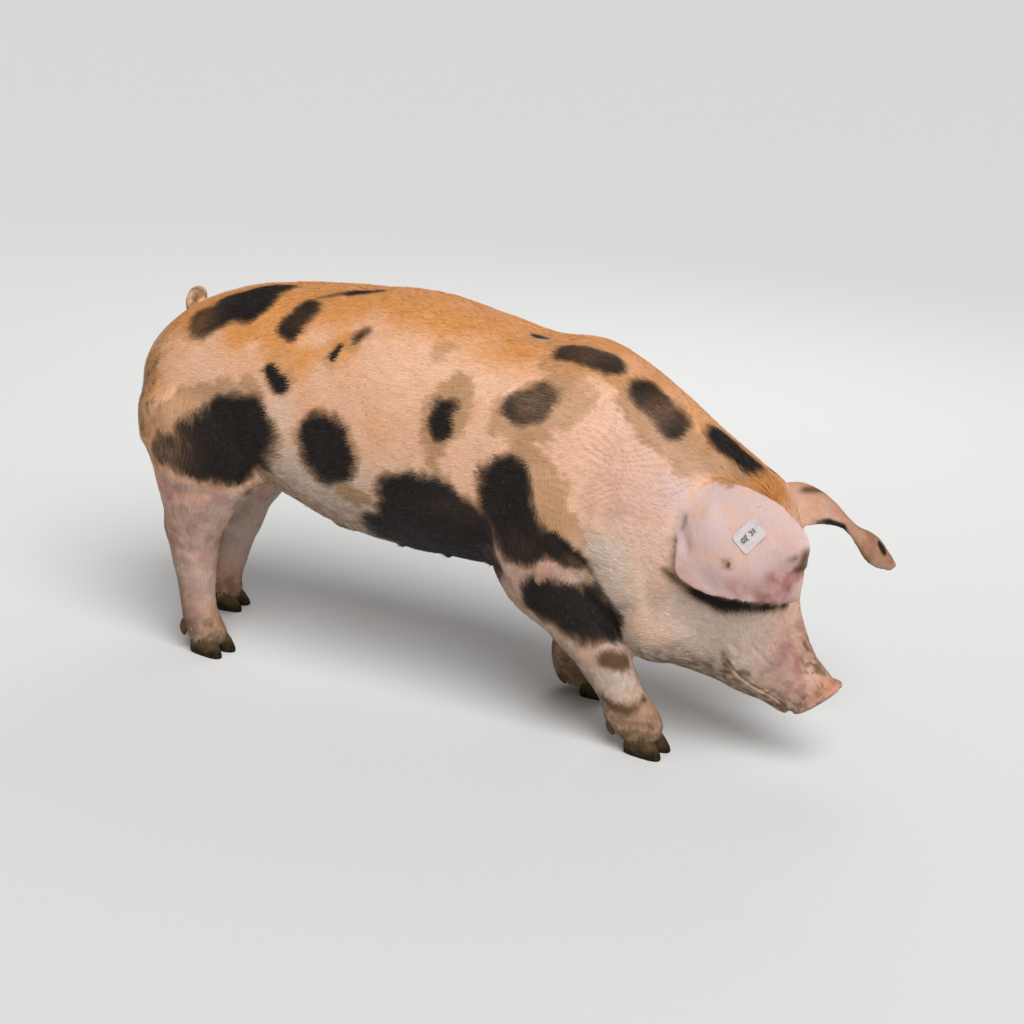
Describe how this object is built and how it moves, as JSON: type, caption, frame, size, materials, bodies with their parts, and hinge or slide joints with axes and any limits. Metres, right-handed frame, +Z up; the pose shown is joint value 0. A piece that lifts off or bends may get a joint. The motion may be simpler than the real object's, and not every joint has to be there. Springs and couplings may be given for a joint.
{
  "type": "pig",
  "caption": "Life-size still model of a spotted, lop-eared young boar that walks with its head lowered, with an ear tag.",
  "frame": {"origin": "on the floor, under the middle of the animal's bounding box", "axes": "+X from tail to snout, +Y to the animal's left, +Z up"},
  "size_m": [1.4764, 0.4996, 0.7764],
  "materials": {
    "skin": "pale pink skin under short fine hair, ginger along the back, with ringed black spots",
    "snout": "bare, moist pink snout disc",
    "horn": "dark brown to black horn, worn dull",
    "eye": "wet dark brown eye",
    "tag": "white plastic ear tag"
  },
  "bodies": {
    "root": {"trunk": "skin", "neck": "skin", "head": "skin", "lower_jaw": "skin", "snout": "snout", "eye_right": "eye", "eye_left": "eye", "ear_right": "skin", "ear_left": "skin", "ear_tag": "tag", "tail": "skin", "hindleg_right": "skin", "claw_hind_right_inner": "horn", "dewclaw_hind_right_inner": "horn", "claw_hind_right_outer": "horn", "dewclaw_hind_right_outer": "horn", "hindleg_left": "skin", "claw_hind_left_inner": "horn", "dewclaw_hind_left_inner": "horn", "claw_hind_left_outer": "horn", "dewclaw_hind_left_outer": "horn", "foreleg_right": "skin", "claw_fore_right_inner": "horn", "dewclaw_fore_right_inner": "horn", "claw_fore_right_outer": "horn", "dewclaw_fore_right_outer": "horn", "foreleg_left": "skin", "claw_fore_left_inner": "horn", "dewclaw_fore_left_inner": "horn", "claw_fore_left_outer": "horn", "dewclaw_fore_left_outer": "horn"}
  },
  "joints": []
}
